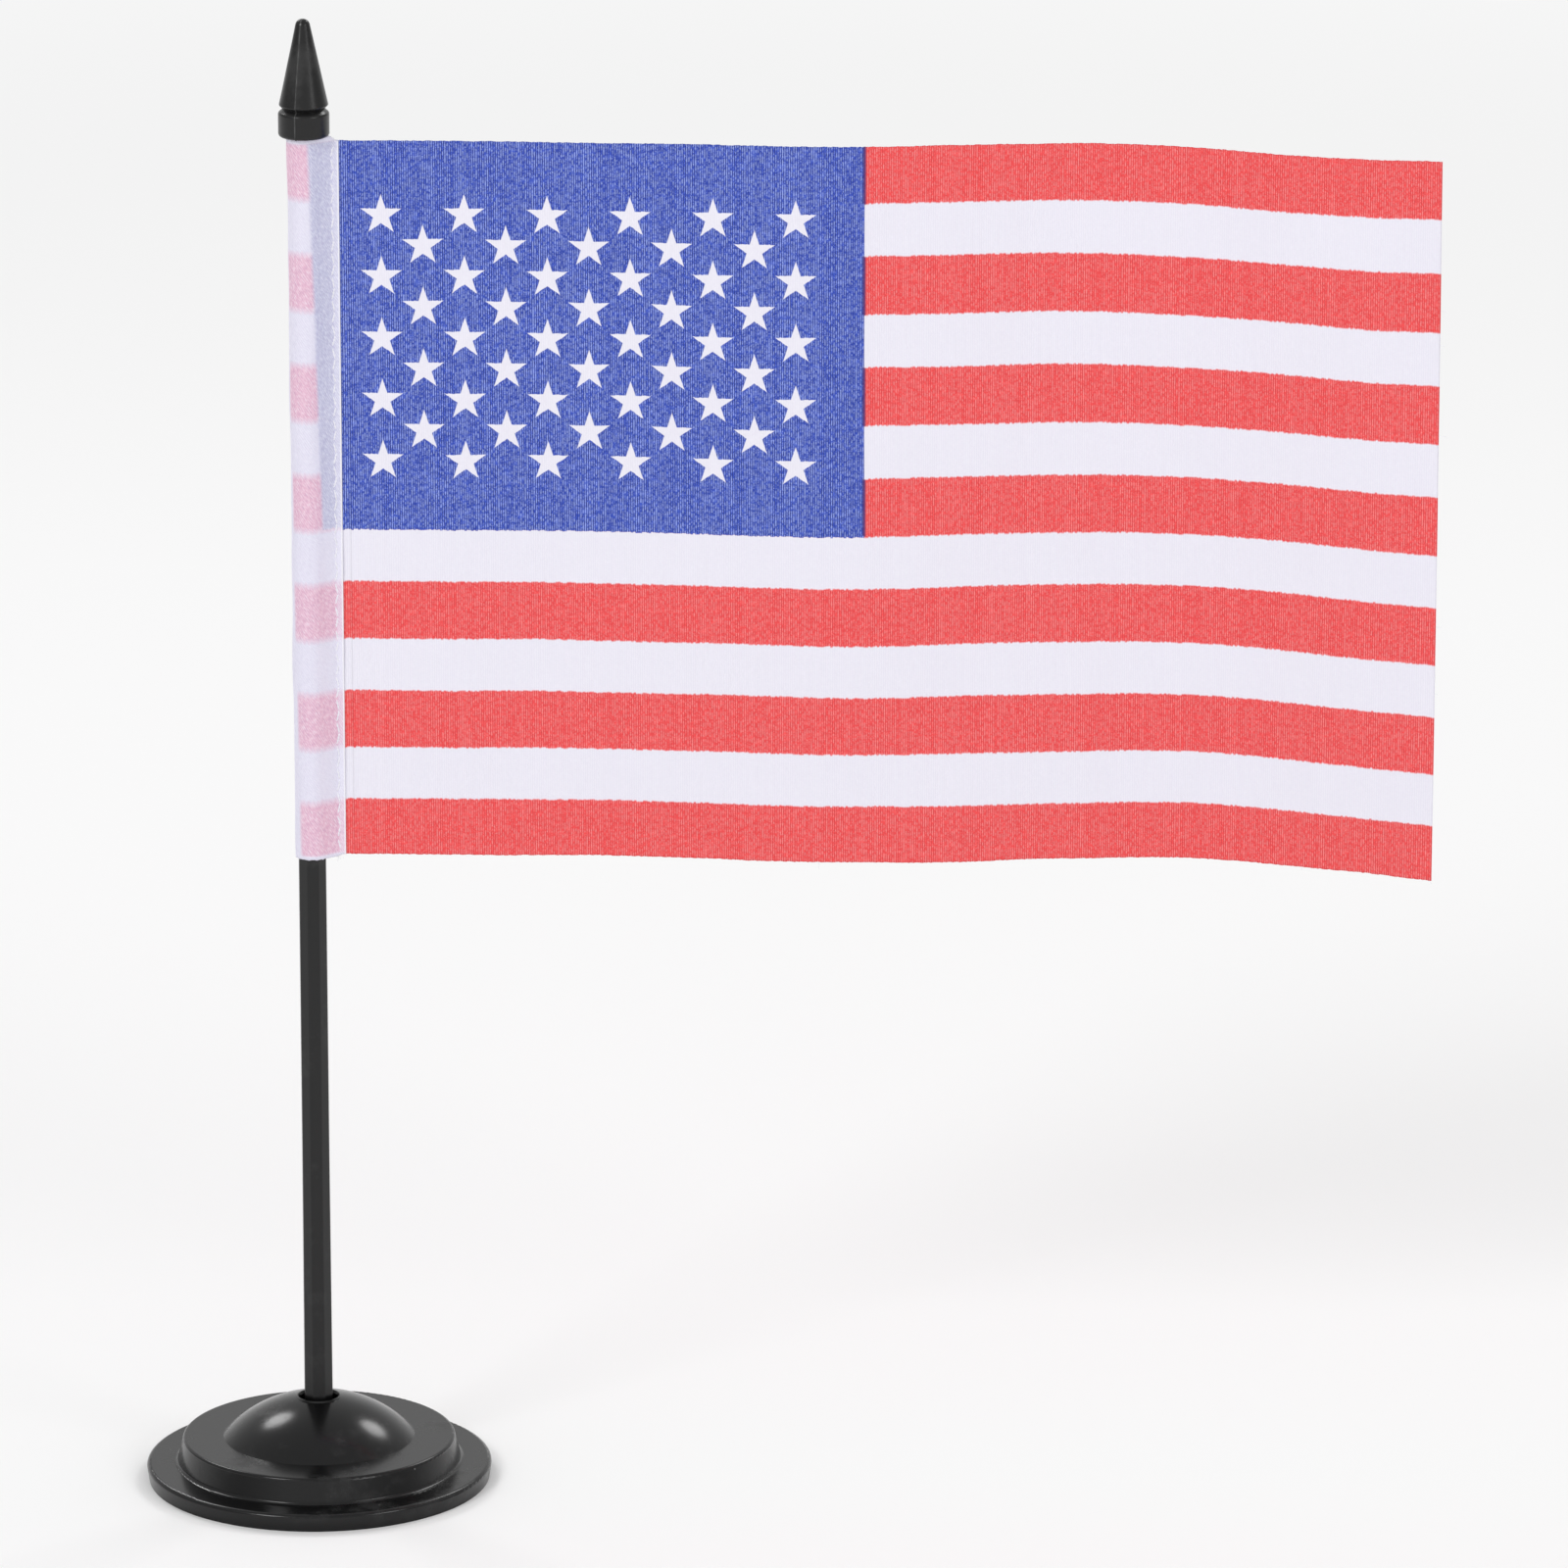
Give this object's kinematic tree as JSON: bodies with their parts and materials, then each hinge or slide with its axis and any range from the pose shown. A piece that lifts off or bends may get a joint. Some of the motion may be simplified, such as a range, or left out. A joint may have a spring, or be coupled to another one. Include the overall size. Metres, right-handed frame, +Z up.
{
  "type": "desk flag stand",
  "caption": "Small desk flag on a slim octagonal pole with a spear tip and collar, standing in the socket of a round stepped domed base.",
  "frame": {"origin": "on the pole's axis, in the plane of the base's underside", "axes": "+Z up along the pole, +X from the pole towards the flag's fly edge, -Y the side that the flag's printed front faces"},
  "size_m": [0.2478, 0.067, 0.2892],
  "materials": {
    "base_plastic": "gloss",
    "pole_plastic": "satin",
    "plain_cloth": "matte",
    "printed_cloth": "matte",
    "sewing_thread": "satin"
  },
  "bodies": {
    "base": {"base": "base_plastic"},
    "pole": {"pole": "pole_plastic"},
    "flag": {"flag_sleeve": "plain_cloth", "flag_panel": "printed_cloth", "sleeve_stitching": "sewing_thread"}
  },
  "joints": [
    {"name": "pole_pull", "type": "slide", "parent": "base", "child": "pole", "axis": [0, 0, 1], "range_m": [0, 0.018]},
    {"name": "flag_turn", "type": "hinge", "parent": "pole", "child": "flag", "pos_m": [0, 0, 0.196], "axis": [0, 0, 1], "continuous": true}
  ]
}
